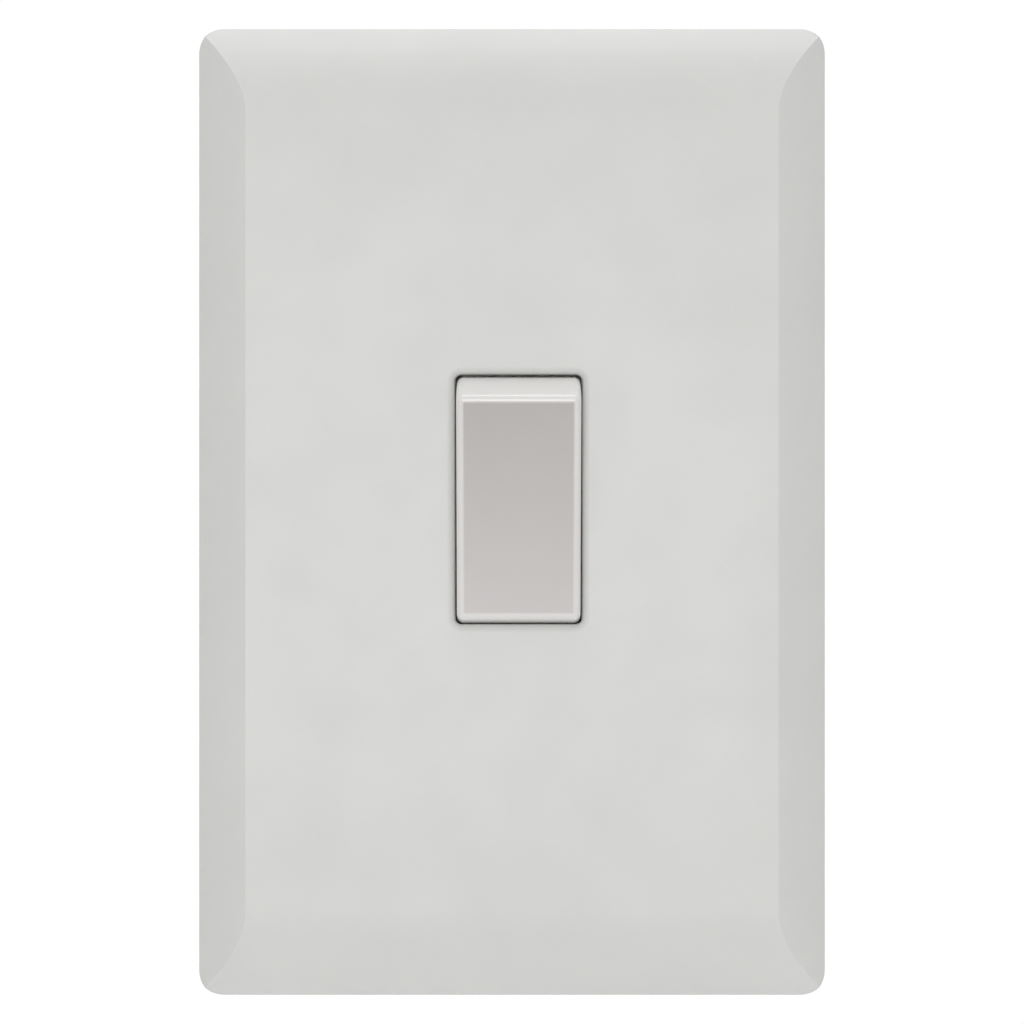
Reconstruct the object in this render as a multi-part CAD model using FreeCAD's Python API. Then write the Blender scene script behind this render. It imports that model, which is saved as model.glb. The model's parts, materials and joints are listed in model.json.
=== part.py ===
import FreeCAD, Part
import math
import os

# One-gang cover plate with a rocker switch, its strap and its screws. Millimetres.
# +X right, +Z up, the front faces -Y. The wall is the plane Y = 0 and the wall box lies behind it.
# The origin is the middle of the plate on the wall.

V = FreeCAD.Vector
axis_x = V(1, 0, 0)
axis_y = V(0, 1, 0)
axis_z = V(0, 0, 1)

# cover plate
plate_width = 76.4
plate_height = 118.0
plate_depth = 6.5
plate_wall = 2.0
plate_corner_r = 3.0
plate_edge_r = 0.6
side_rim = 2.7
side_bevel = 6.1
side_crown = 0.28
end_rim = 2.5
end_roll = 11.0
window_lip_r = 0.9
window_corner_r = 0.8
window_flare = 0.75
window_straight = 0.05
pry_notch_width = 9.0
pry_notch_depth = 1.1
rib_thickness = 1.2
rib_offset_x = 27.0
rib_offset_z = 25.0
rib_height = 2.1

# rocker key
rocker_width = 14.9
rocker_half_span = 14.6
rocker_gap_side = 0.22
rocker_gap_end = 0.45
rocker_tilt = 8.5
rocker_edge_height = 7.4
rocker_dish = 0.5
rocker_edge_r = 0.8
rocker_wall = 1.4
rocker_skirt = 1.8
pivot_depth = 4.5
trunnion_r = 1.5
running_gap = 0.05
body_gap = 0.15

# carrier, spring and plunger inside the key
deck_half_span = 11.6
deck_thickness = 1.9
hub_half_span = 3.4
hub_drop = 2.2
tube_r = 3.0
tube_drop = 6.2
tube_bore_r = 1.85
tube_bore_top = 2.0
plunger_back = 4.9
plunger_body_length = 2.0
plunger_nose_r = 1.2
plunger_spigot_r = 0.8
plunger_spigot_length = 1.3
plunger_travel_gap = 0.08
spring_wire_r = 0.2
spring_coil_r = 1.3
spring_turns = 6
snap_length = 3.0
snap_height = 1.0
snap_reach = 0.8
snap_gap = 0.1
snap_offset = 8.0

# switch module
module_x = 0.8
module_z = 1.5
strap_thickness = 1.2
base_wall = 1.4
base_side_gap = 0.3
base_end_gap = 0.75
base_back = 24.0
base_corner_r = 1.0
collar_ledge = 1.7
collar_front_gap = 0.4
collar_end_gap = 0.55
cheek_thickness = 1.4
cheek_half_height = 3.6
cheek_back = 1.2
throat_half_height = 1.3
hook_z0 = 11.5
hook_length = 3.0
hook_back = 5.0
hook_barb = 1.1
hook_barb_height = 1.4
hook_gap = 0.15

# contacts and terminals
seesaw_distance = 9.0
seesaw_half_width = 3.0
seesaw_half_span = 7.6
seesaw_thickness = 0.8
seesaw_corner_r = 1.0
seesaw_tilt = 10.0
saddle_half_span = 1.7
saddle_height = 0.6
fulcrum_r = 0.8
contact_r = 1.5
contact_height = 1.0
contact_z = 5.9
contact_shank_r = 0.8
contact_rivet_upset = 0.3
fixed_contact_r = 1.4
fixed_dome_r = 4.0
fixed_shank_sunk = 0.2
fixed_rivet_upset = 0.4
fixed_rivet_height = 0.5
contact_closed_gap = 0.05
stop_z = 6.6
stop_r = 0.6
stop_gap = 0.03
brass_thickness = 1.0
bridge_y = 11.0
bridge_half_width = 3.0
fulcrum_inset = 0.4
shelf_end_margin = 0.1
riser_z = 8.3
plate_y = 18.5
terminal_side_gap = 0.4
terminal_end_gap = 0.3
clamp_screw_inset = 3.8
clamp_screw_r = 1.75
clamp_screw_length = 8.0
clamp_screw_slot_angle = 25
clamp_head_r = 3.0
clamp_head_height = 2.0
clamp_plate_thickness = 1.5
clamp_open = 2.5
clamp_riser_gap = 0.6
wire_hole_r = 1.3
wire_hole_x = 4.2
access_hole_r = 3.3
ledge_width = 3.0
pillar_inset = 0.4
shelf_pillar_z = 1.5
shelf_pillar_height = 4.0
riser_pillar_height = 1.3
divider_z = -3.2
divider_thickness = 1.0
divider_rise = 1.5

# strap, clips and fasteners
strap_half_width = 21.0
strap_half_height = 53.0
strap_corner_r = 3.0
strap_opening_gap = 0.2
box_screw_pitch = 83.3
box_screw_r = 1.75
box_screw_length = 20.0
box_screw_neck_r = 1.4
box_screw_neck = 0.5
box_slot_length = 8.0
box_slot_width = 4.2
box_screw_slot_angle = 0
pan_head_r = 3.2
pan_head_height = 2.1
slot_width = 0.9
slot_depth = 1.1
head_round_share = 0.45
point_chamfer_share = 0.35
peg_x = 16.0
peg_z = 31.0
peg_r = 2.5
peg_groove_r = 2.1
peg_groove_height = 0.6
peg_tip = 2.5
peg_taper_start = 1.0
peg_taper = 0.9
peg_hole_gap = 0.3
clip_thickness = 0.4
clip_half_width = 4.2
clip_tail = 8.0
clip_nose = 3.0
clip_rivet_offset = 5.6
rivet_r = 0.9
rivet_head_r = 1.5
rivet_head_height = 0.6
latch_half_width = 3.0
latch_thickness = 0.4
latch_length = 9.0
latch_barb_length = 5.0
latch_barb_reach = 1.5
latch_clear = 0.15
latch_foot_inset = 0.1
earth_tab_x = 17.2
earth_tab_gap = 0.2
earth_tab_half_width = 4.0
earth_tab_depth = 11.0
earth_screw_y = 6.0
earth_screw_length = 5.5
earth_screw_slot_angle = 40

# allowances
tolerance = 0.01
cut_start = 0.1
cut_past = 1.0
joint_overlap = 0.5

# levels along Y that several pieces share
plate_front = -plate_depth
plate_inside = plate_front + plate_wall
pivot_y = plate_front + pivot_depth
strap_front = -strap_thickness
collar_front = plate_inside + collar_front_gap
rocker_end_r = math.hypot(rocker_half_span, pivot_depth)
rocker_half_width = rocker_width / 2
window_half_width = rocker_half_width + rocker_gap_side
window_half_height = rocker_half_span + rocker_gap_end
opening_half_width = rocker_half_width + body_gap
opening_half_height = rocker_end_r + collar_end_gap
cheek_outside = opening_half_width + cheek_thickness
base_in_x = cheek_outside + base_side_gap
base_in_z = opening_half_height + base_end_gap
base_in_back = base_back - base_wall
base_half_width = base_in_x + base_wall
base_half_height = base_in_z + base_wall
collar_half_width = base_half_width + collar_ledge
collar_half_height = base_half_height + collar_ledge
terminal_half_width = base_in_x - terminal_side_gap
clamp_screw_z = base_in_z - clamp_screw_inset
seesaw_front = pivot_y + seesaw_distance
fulcrum_y = seesaw_front + seesaw_thickness + fulcrum_r + running_gap
earth_tab_z = -(peg_z - peg_r - peg_hole_gap - earth_tab_gap - earth_tab_half_width)
tip = math.radians(seesaw_tilt)


def block(x0, x1, y0, y1, z0, z1):
    return Part.makeBox(x1 - x0, y1 - y0, z1 - z0, V(x0, y0, z0))


def rod_x(r, x0, x1, y, z):
    return Part.makeCylinder(r, x1 - x0, V(x0, y, z), axis_x)


def rod_y(r, y0, y1, x, z):
    return Part.makeCylinder(r, y1 - y0, V(x, y0, z), axis_y)


def rod_z(r, z0, z1, x, y):
    return Part.makeCylinder(r, z1 - z0, V(x, y, z0), axis_z)


def prism_x(points, x0, x1):
    # a closed outline of (y, z) points, drawn out along X
    ring = [V(x0, y, z) for y, z in points]
    return Part.Face(Part.makePolygon(ring + [ring[0]])).extrude(V(x1 - x0, 0, 0))


def rounded_block(half_x, half_z, r, y0, y1):
    # a block along Y whose four upright edges are rounded
    solid = block(-half_x, half_x, y0, y1, -half_z, half_z)
    upright = [e for e in solid.Edges if abs(e.tangentAt(e.FirstParameter).y) > 1 - tolerance]
    return solid.makeFillet(r, upright)


def mirrored(solid, normal):
    return solid.mirror(V(0, 0, 0), normal)


def fused(solids):
    return solids[0].multiFuse(solids[1:]).removeSplitter()


def shifted(solid, x, y, z):
    moved = solid.copy()
    moved.translate(V(x, y, z))
    return moved


def in_module(solid):
    return shifted(solid, module_x, 0, module_z)


def in_rocker(solid):
    # from the rocker's own frame, with the pivot at its origin, to its rest pose: top end out
    turned = solid.copy()
    turned.rotate(V(0, 0, 0), axis_x, rocker_tilt)
    return in_module(shifted(turned, 0, pivot_y, 0))


def in_seesaw(solid):
    # from the bridge's own frame, with the fulcrum at its origin, to its rest pose: upper arm in
    turned = solid.copy()
    turned.rotate(V(0, 0, 0), axis_x, -seesaw_tilt)
    return in_module(shifted(turned, 0, fulcrum_y, 0))


def save(name, shape):
    shape.exportStep("parts/" + name + ".step")


def side_form(half_width, front, rim, bevel, crown, half_height):
    # the plate's cross-section, level front with a sloping and slightly crowned side, drawn along Z
    middle = (half_width - bevel / 2, (rim + front) / 2 + crown)
    right = [V(half_width, 0, 0), V(half_width, -rim, 0), V(half_width - bevel, -front, 0)]
    left = [V(-p.x, p.y, 0) for p in right]
    edges = [
        Part.LineSegment(left[0], right[0]).toShape(),
        Part.LineSegment(right[0], right[1]).toShape(),
        Part.Arc(right[1], V(middle[0], -middle[1], 0), right[2]).toShape(),
        Part.LineSegment(right[2], left[2]).toShape(),
        Part.Arc(left[2], V(-middle[0], -middle[1], 0), left[1]).toShape(),
        Part.LineSegment(left[1], left[0]).toShape(),
    ]
    solid = Part.Face(Part.Wire(edges)).extrude(V(0, 0, 2 * half_height))
    return shifted(solid, 0, 0, -half_height)


def end_form(half_height, front, roll, roll_r, half_width):
    # the plate's long section: level front that rolls off in an arc at both ends, drawn along X
    flat_end = half_height - roll
    lift = front - roll_r
    rim = lift + math.sqrt(roll_r**2 - roll**2)
    half_turn = math.asin(roll / roll_r) / 2
    middle = (lift + roll_r * math.cos(half_turn), flat_end + roll_r * math.sin(half_turn))
    top = [V(0, 0, half_height), V(0, -rim, half_height), V(0, -front, flat_end)]
    foot = [V(0, p.y, -p.z) for p in top]
    edges = [
        Part.LineSegment(foot[0], top[0]).toShape(),
        Part.LineSegment(top[0], top[1]).toShape(),
        Part.Arc(top[1], V(0, -middle[0], middle[1]), top[2]).toShape(),
        Part.LineSegment(top[2], foot[2]).toShape(),
        Part.Arc(foot[2], V(0, -middle[0], -middle[1]), foot[1]).toShape(),
        Part.LineSegment(foot[1], foot[0]).toShape(),
    ]
    solid = Part.Face(Part.Wire(edges)).extrude(V(2 * half_width, 0, 0))
    return shifted(solid, -half_width, 0, 0)


def cover_form(inset):
    # the cover's outer form, or with an inset its hollow, a wall's thickness inside it
    half_width = plate_width / 2 - inset
    half_height = plate_height / 2 - inset
    front = plate_depth - inset
    slope = math.atan2(plate_depth - side_rim, side_bevel)
    rim = side_rim + inset * math.tan(slope) - inset / math.cos(slope)
    bevel = (front - rim) / math.tan(slope)
    drop = plate_depth - end_rim
    outer_roll_r = (end_roll**2 + drop**2) / (2 * drop)
    form = side_form(half_width, front, rim, bevel, side_crown, half_height)
    form = form.common(end_form(half_height, front, end_roll - inset, outer_roll_r - inset, half_width))
    return form.common(rounded_block(half_width, half_height, plate_corner_r - inset / 2, -plate_depth, 0))


def window_opening():
    return in_module(
        rounded_block(window_half_width, window_half_height, window_corner_r, plate_front - 1, 0)
    )


def window_relief():
    # the window's upper and lower walls lean away from the key's arc behind the lip
    shoulder = plate_front + window_lip_r + window_straight
    wide = window_half_height + window_flare
    upper = [(shoulder, window_half_height - 1), (shoulder, window_half_height), (plate_inside, wide),
             (0, wide), (0, window_half_height - 1)]
    lower = [(y, -z) for y, z in upper]
    half_width = window_half_width
    solids = [prism_x(outline, -half_width, half_width) for outline in (upper, lower)]
    return in_module(solids[0].fuse(solids[1]))


def cover_peg(x, z):
    # a peg with a waist for its clip and a tapered tip
    waist_front = strap_front - clip_thickness - (peg_groove_height - clip_thickness) / 2
    shank = rod_y(peg_r, plate_inside, waist_front, x, z)
    waist = rod_y(peg_groove_r, waist_front, waist_front + peg_groove_height, x, z)
    head_start = waist_front + peg_groove_height
    head = rod_y(peg_r, head_start, peg_taper_start, x, z)
    start = V(x, peg_taper_start, z)
    taper = Part.makeCone(peg_r, peg_r - peg_taper, peg_tip - peg_taper_start, start, axis_y)
    return [shank, waist, head, taper]


def cover_plate():
    outer = cover_form(0)
    rim_edges = []
    for e in outer.Edges:
        box = e.BoundBox
        at_side = min(abs(box.XMax - plate_width / 2), abs(box.XMin + plate_width / 2)) < tolerance
        at_end = min(abs(box.ZMax - plate_height / 2), abs(box.ZMin + plate_height / 2)) < tolerance
        upright = box.YLength > side_rim / 2 and box.XLength + box.ZLength < tolerance
        if (at_side or at_end) and box.YMax < -tolerance and not upright:
            rim_edges.append(e)
    outer = outer.makeFillet(plate_edge_r, rim_edges)
    opened = outer.cut(window_opening())
    lip = []
    for e in opened.Edges:
        box = e.BoundBox
        on_front = abs(box.YMin - plate_front) < tolerance and box.YLength < tolerance
        near = abs(box.Center.x - module_x) < window_half_width + tolerance
        if on_front and near and abs(box.Center.z - module_z) < window_half_height + tolerance:
            lip.append(e)
    opened = opened.makeFillet(window_lip_r, lip).cut(window_relief())
    shell = opened.cut(cover_form(plate_wall))
    pieces = [shell]
    reach = plate_height / 2 - end_roll - plate_wall
    for side in (-1, 1):
        x = side * rib_offset_x
        rib_front = plate_inside - joint_overlap
        rib_back = plate_inside + rib_height
        half_rib = rib_thickness / 2
        pieces.append(block(x - half_rib, x + half_rib, rib_front, rib_back, -reach, reach))
        z = module_z + side * rib_offset_z
        cross = block(-rib_offset_x, rib_offset_x, rib_front, rib_back, z - half_rib, z + half_rib)
        pieces.append(cross)
        for end in (-1, 1):
            pieces += cover_peg(side * peg_x, end * peg_z)
    cover = fused(pieces)
    foot = -plate_height / 2
    notch = block(-pry_notch_width / 2, pry_notch_width / 2, -pry_notch_depth, cut_past,
                  foot - cut_past, foot + plate_wall + joint_overlap)
    return cover.cut(notch)


def rocker_outline(end_r, edge_height, dish, skirt):
    # (y, z) outline: two ends that are arcs round the pivot, a dished face, a straight foot
    face_z = math.sqrt(end_r**2 - edge_height**2)
    skirt_z = math.sqrt(end_r**2 - skirt**2)
    half_way = (math.asin(edge_height / end_r) + math.asin(skirt / end_r)) / 2
    side = V(0, -end_r * math.sin(half_way), end_r * math.cos(half_way))
    face_top = V(0, -edge_height, face_z)
    skirt_top = V(0, -skirt, skirt_z)
    face_foot = V(0, face_top.y, -face_top.z)
    skirt_foot = V(0, skirt_top.y, -skirt_top.z)
    return [
        Part.Arc(skirt_top, side, face_top).toShape(),
        Part.Arc(face_top, V(0, -edge_height + dish, 0), face_foot).toShape(),
        Part.Arc(face_foot, V(0, side.y, -side.z), skirt_foot).toShape(),
        Part.LineSegment(skirt_foot, skirt_top).toShape(),
    ]


def rocker_cap():
    outline = Part.Wire(rocker_outline(rocker_end_r, rocker_edge_height, rocker_dish, rocker_skirt))
    solid = Part.Face(outline).extrude(V(rocker_width, 0, 0))
    solid = shifted(solid, -rocker_half_width, 0, 0)
    rounded = [e for e in solid.Edges if e.BoundBox.YMin < -rocker_skirt - cut_start]
    solid = solid.makeFillet(rocker_edge_r, rounded)
    inner_r = rocker_end_r - rocker_wall
    inner_edge = rocker_edge_height - rocker_dish - rocker_wall
    hollow_half_span = math.sqrt(inner_r**2 - inner_edge**2)
    inner_x = rocker_half_width - rocker_wall
    hollow = block(-inner_x, inner_x, -inner_edge, 0, -hollow_half_span, hollow_half_span)
    solid = solid.cut(hollow)
    pocket = carrier_half_width() + snap_reach + snap_gap
    for z in (-snap_offset, snap_offset):
        half = snap_length / 2 + snap_gap
        low = deck_front() - snap_gap
        solid = solid.cut(block(-pocket, pocket, low, low + snap_height + 2 * snap_gap, z - half, z + half))
    return solid


def deck_front():
    # the carrier's deck lies just under the cap's inner ceiling
    return -(rocker_edge_height - rocker_dish - rocker_wall) + 2 * snap_gap


def carrier_half_width():
    return rocker_half_width - rocker_wall - 2 * snap_gap


def rocker_carrier():
    half_width = carrier_half_width()
    front = deck_front()
    deck = block(-half_width, half_width, front, front + deck_thickness, -deck_half_span, deck_half_span)
    hub = block(-half_width, half_width, front, hub_drop, -hub_half_span, hub_half_span)
    tube = rod_y(tube_r, front, tube_drop, 0, 0)
    pins = rod_x(trunnion_r, -cheek_outside, cheek_outside, 0, 0)
    solids = [deck, hub, tube, pins]
    for z in (-snap_offset, snap_offset):
        half = snap_length / 2
        solids.append(block(-half_width - snap_reach, half_width + snap_reach,
                            front, front + snap_height, z - half, z + half))
    body = fused(solids)
    return body.cut(rod_y(tube_bore_r, -tube_bore_top, tube_drop + 1, 0, 0))


def plunger_nose():
    # where the nose's round end is centred when the rocker stands half way, just clear of the bridge
    return seesaw_distance - plunger_travel_gap - plunger_nose_r


def plunger():
    body_r = tube_bore_r - running_gap
    body = rod_y(body_r, plunger_back, plunger_back + plunger_body_length, 0, 0)
    nose = rod_y(plunger_nose_r, plunger_back, plunger_nose(), 0, 0)
    ball = Part.makeSphere(plunger_nose_r, V(0, plunger_nose(), 0))
    spigot = rod_y(plunger_spigot_r, plunger_back - plunger_spigot_length, plunger_back, 0, 0)
    return fused([body, nose, ball, spigot])


def plunger_spring():
    start = -tube_bore_top + spring_wire_r
    length = plunger_back - spring_wire_r - start
    helix = Part.makeHelix(length / spring_turns, length, spring_coil_r)
    profile = Part.Wire(Part.makeCircle(spring_wire_r, V(spring_coil_r, 0, 0), axis_y))
    coil = Part.Wire(helix.Edges).makePipeShell([profile], True, True)
    coil.rotate(V(0, 0, 0), axis_x, -90)
    return shifted(Part.Solid(coil) if coil.ShapeType == "Shell" else coil, 0, start, 0)


def module_collar():
    frame = rounded_block(collar_half_width, collar_half_height, base_corner_r, collar_front, strap_front)
    frame = frame.cut(block(-opening_half_width, opening_half_width, collar_front - 1, 1,
                            -opening_half_height, opening_half_height))
    solids = [frame]
    for side in (-1, 1):
        tip_x = side * cheek_outside
        low = min(side * opening_half_width, tip_x)
        high = low + cheek_thickness
        solids.append(block(low, high, strap_front - 1, cheek_back, -cheek_half_height, cheek_half_height))
        for end in (-1, 1):
            z0 = min(end * hook_z0, end * (hook_z0 + hook_length))
            z1 = z0 + hook_length
            solids.append(block(low, high, strap_front - 1, hook_back, z0, z1))
            outline = [
                (hook_back, tip_x),
                (hook_back - hook_barb_height, tip_x),
                (hook_back - hook_barb_height, tip_x + side * hook_barb),
            ]
            ring = [V(x, y, z0) for y, x in outline]
            solids.append(Part.Face(Part.makePolygon(ring + [ring[0]])).extrude(V(0, 0, hook_length)))
    collar = fused(solids)
    reach = cheek_outside + running_gap
    collar = collar.cut(rod_x(trunnion_r + running_gap, -reach, reach, pivot_y, 0))
    throat = block(-reach, reach, pivot_y, cheek_back + 1, -throat_half_height, throat_half_height)
    return collar.cut(throat)


def module_base():
    base = rounded_block(base_half_width, base_half_height, base_corner_r, strap_front, base_back)
    base = base.cut(block(-base_in_x, base_in_x, strap_front - 1, base_in_back, -base_in_z, base_in_z))
    ledge_y = plate_y + brass_thickness
    solids = [base]
    under = bridge_y + brass_thickness
    pillar = bridge_half_width - pillar_inset
    deep = base_in_back + joint_overlap
    shelf_top = shelf_pillar_z + shelf_pillar_height
    wide = base_in_x + joint_overlap
    solids.append(block(-pillar, pillar, under, deep, shelf_pillar_z, shelf_top))
    solids.append(block(-pillar, pillar, under, deep, -riser_z, riser_pillar_height - riser_z))
    solids.append(block(-wide, wide, under - divider_rise, deep, divider_z, divider_z + divider_thickness))
    for side in (-1, 1):
        x0 = min(side * (base_in_x - ledge_width), side * wide)
        x1 = x0 + ledge_width + joint_overlap
        for end in (-1, 1):
            z0 = min(end * riser_z, end * (base_in_z + joint_overlap))
            z1 = max(end * riser_z, end * (base_in_z + joint_overlap))
            solids.append(block(x0, x1, ledge_y, deep, z0, z1))
    base = fused(solids)
    wire_y = plate_y - clamp_open / 2
    for end in (-1, 1):
        base = base.cut(rod_y(access_hole_r, base_in_back - cut_start, base_back + cut_past, 0,
                             end * clamp_screw_z))
        z0 = min(end * (base_in_z - joint_overlap), end * (base_half_height + cut_past))
        z1 = z0 + base_wall + joint_overlap + cut_past
        for side in (-1, 1):
            base = base.cut(rod_z(wire_hole_r, z0, z1, side * wire_hole_x, wire_y))
            window_z0 = min(end * (hook_z0 - hook_gap), end * (hook_z0 + hook_length + hook_gap))
            window_z1 = window_z0 + hook_length + 2 * hook_gap
            x0 = min(side * (base_in_x - cut_start), side * (base_half_width + cut_past))
            x1 = x0 + base_wall + cut_start + cut_past
            hook_front = hook_back - hook_barb_height - hook_gap
            base = base.cut(block(x0, x1, hook_front, hook_back + hook_gap, window_z0, window_z1))
        foot = latch_length - latch_thickness - running_gap
        half = latch_half_width + running_gap
        base = base.cut(block(-half, half, foot, latch_length + running_gap, z0, z1))
    return base


def module_latch():
    # spring claw on the housing's upper end: strip, foot in the housing's slot, barb behind the strap
    foot_y = latch_length - latch_thickness
    outer = base_half_height + latch_thickness
    strip = block(-latch_half_width, latch_half_width, latch_clear, latch_length, base_half_height, outer)
    foot = block(-latch_half_width, latch_half_width, foot_y, latch_length, base_in_z + latch_foot_inset,
                 base_half_height)
    tip_z = outer + latch_barb_reach
    outline = [
        (latch_clear, tip_z),
        (latch_clear, tip_z - latch_thickness),
        (latch_barb_length - latch_thickness, outer - latch_thickness / 2),
        (latch_barb_length, outer),
    ]
    barb = prism_x(outline, -latch_half_width, latch_half_width)
    return fused([strip, foot, barb])


def contact_seesaw():
    back = -fulcrum_r - running_gap
    front = back - seesaw_thickness
    strip = rounded_block(seesaw_half_width, seesaw_half_span, seesaw_corner_r, front, back)
    saddle = block(-seesaw_half_width, seesaw_half_width, back, back + saddle_height,
                   -saddle_half_span, saddle_half_span)
    bridge = fused([strip, saddle])
    bridge = bridge.cut(rod_x(fulcrum_r + running_gap, -seesaw_half_width - 1, seesaw_half_width + 1, 0, 0))
    return bridge.cut(rod_y(contact_shank_r, front - 1, back + 1, 0, -contact_z))


def moving_contact():
    back = -fulcrum_r - running_gap
    front = back - seesaw_thickness
    head = rod_y(contact_r, back, back + contact_height, 0, -contact_z)
    shank = rod_y(contact_shank_r, front, back, 0, -contact_z)
    rivet = rod_y(contact_shank_r + contact_rivet_upset, front - contact_rivet_upset, front, 0, -contact_z)
    return fused([head, shank, rivet])


def closed_contact_point():
    # the middle of the moving contact's face, with the bridge tipped onto the fixed contact
    y = -fulcrum_r - running_gap + contact_height
    z = -contact_z
    return V(0, fulcrum_y + y * math.cos(tip) - z * math.sin(tip), y * math.sin(tip) + z * math.cos(tip))


def fixed_contact_centre():
    reach = fixed_dome_r + contact_closed_gap
    return closed_contact_point() + V(0, reach * math.cos(tip), reach * math.sin(tip))


def fixed_contact():
    centre = fixed_contact_centre()
    dome = Part.makeSphere(fixed_dome_r, centre)
    head = rod_y(fixed_contact_r, centre.y - fixed_dome_r - cut_past, bridge_y, 0, centre.z).common(dome)
    under = bridge_y + brass_thickness
    shank = rod_y(contact_shank_r, bridge_y - fixed_shank_sunk, under, 0, centre.z)
    rivet = rod_y(contact_shank_r + fixed_rivet_upset, under, under + fixed_rivet_height, 0, centre.z)
    return fused([head, shank, rivet])


def clamp_seat(end):
    # the strip's riser and the seat that its clamp screw pulls against, at the upper or lower end
    z0 = riser_z
    z1 = base_in_z - terminal_end_gap
    riser = block(-bridge_half_width, bridge_half_width, bridge_y, plate_y + brass_thickness,
                  z0, z0 + brass_thickness)
    seat = block(-terminal_half_width, terminal_half_width, plate_y, plate_y + brass_thickness, z0, z1)
    hole = rod_y(clamp_screw_r + running_gap, plate_y - cut_past, base_back, 0, clamp_screw_z)
    joined = riser.fuse(seat).cut(hole)
    return joined if end > 0 else mirrored(joined, axis_z)


def common_terminal():
    shelf = block(-bridge_half_width, bridge_half_width, bridge_y, bridge_y + brass_thickness,
                  -fulcrum_r, riser_z + brass_thickness)
    width = seesaw_half_width - fulcrum_inset
    post = block(-width, width, fulcrum_y, bridge_y + brass_thickness, -fulcrum_r, fulcrum_r)
    crest = rod_x(fulcrum_r, -width, width, fulcrum_y, 0)
    arm_y = fulcrum_y + (stop_z * math.sin(tip) - fulcrum_r - running_gap) / math.cos(tip)
    stop_y = arm_y + (stop_r + stop_gap) / math.cos(tip)
    stop = block(-width, width, stop_y, bridge_y + brass_thickness, stop_z - stop_r, stop_z + stop_r)
    stop_crest = rod_x(stop_r, -width, width, stop_y, stop_z)
    return fused([shelf, post, crest, stop, stop_crest, clamp_seat(1)])


def switched_terminal():
    inner = fixed_contact_centre().z + fixed_contact_r + shelf_end_margin
    shelf = block(-bridge_half_width, bridge_half_width, bridge_y, bridge_y + brass_thickness,
                  -riser_z - brass_thickness, inner)
    joined = fused([shelf, clamp_seat(-1)])
    top = bridge_y - cut_past
    back = bridge_y + brass_thickness + cut_past
    return joined.cut(rod_y(contact_shank_r, top, back, 0, fixed_contact_centre().z))


def clamp_plate():
    # saddle plate of the upper terminal, threaded on its screw, with a groove for a wire each side
    back = plate_y - clamp_open
    z0 = riser_z + brass_thickness + clamp_riser_gap
    z1 = base_in_z - terminal_end_gap
    plate = block(-terminal_half_width, terminal_half_width, back - clamp_plate_thickness, back, z0, z1)
    front = back - clamp_plate_thickness
    hole = rod_y(clamp_screw_r + running_gap, front - cut_past, back + cut_past, 0, clamp_screw_z)
    plate = plate.cut(hole)
    for side in (-1, 1):
        groove_y = back + wire_hole_r / 2
        groove = rod_z(wire_hole_r, z0 - cut_past, z1 + cut_past, side * wire_hole_x, groove_y)
        plate = plate.cut(groove)
    return plate


def screw(shank_r, length, head_r, head_height, slot_angle):
    # head up to Z = head height, shank down to Z = -length, a driver slot across the head
    head = Part.makeCylinder(head_r, head_height)
    top = [e for e in head.Edges if abs(e.BoundBox.ZMin - head_height) < tolerance]
    rim = [e for e in top if e.Closed and e.Length > head_r]
    head = head.makeFillet(head_height * head_round_share, rim)
    shank = Part.makeCylinder(shank_r, length, V(0, 0, -length))
    point = [e for e in shank.Edges if abs(e.BoundBox.ZMax + length) < tolerance and e.Closed]
    shank = shank.makeChamfer(shank_r * point_chamfer_share, point)
    reach = head_r + cut_past
    slot = Part.makeBox(2 * reach, slot_width, slot_depth + cut_past,
                        V(-reach, -slot_width / 2, head_height - slot_depth))
    slot.rotate(V(0, 0, 0), axis_z, slot_angle)
    return head.fuse(shank).cut(slot).removeSplitter()


def clamp_screw():
    body = screw(clamp_screw_r, clamp_screw_length, clamp_head_r, clamp_head_height, clamp_screw_slot_angle)
    body.rotate(V(0, 0, 0), axis_x, -90)
    return shifted(body, 0, plate_y + brass_thickness, clamp_screw_z)


def box_screw(z):
    # its neck is turned down to the root of the thread, from the head to just past the strap
    body = screw(box_screw_r, box_screw_length, pan_head_r, pan_head_height, box_screw_slot_angle)
    neck = strap_thickness + box_screw_neck
    turned_off = Part.makeCylinder(box_screw_r + cut_past, neck, V(0, 0, -neck))
    body = body.cut(turned_off.cut(Part.makeCylinder(box_screw_neck_r, neck, V(0, 0, -neck))))
    body.rotate(V(0, 0, 0), axis_x, 90)
    return shifted(body, 0, strap_front, z)


def earth_screw():
    body = screw(clamp_screw_r, earth_screw_length, clamp_head_r, clamp_head_height, earth_screw_slot_angle)
    body.rotate(V(0, 0, 0), axis_y, -90)
    return shifted(body, -earth_tab_x, earth_screw_y, earth_tab_z)


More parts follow.
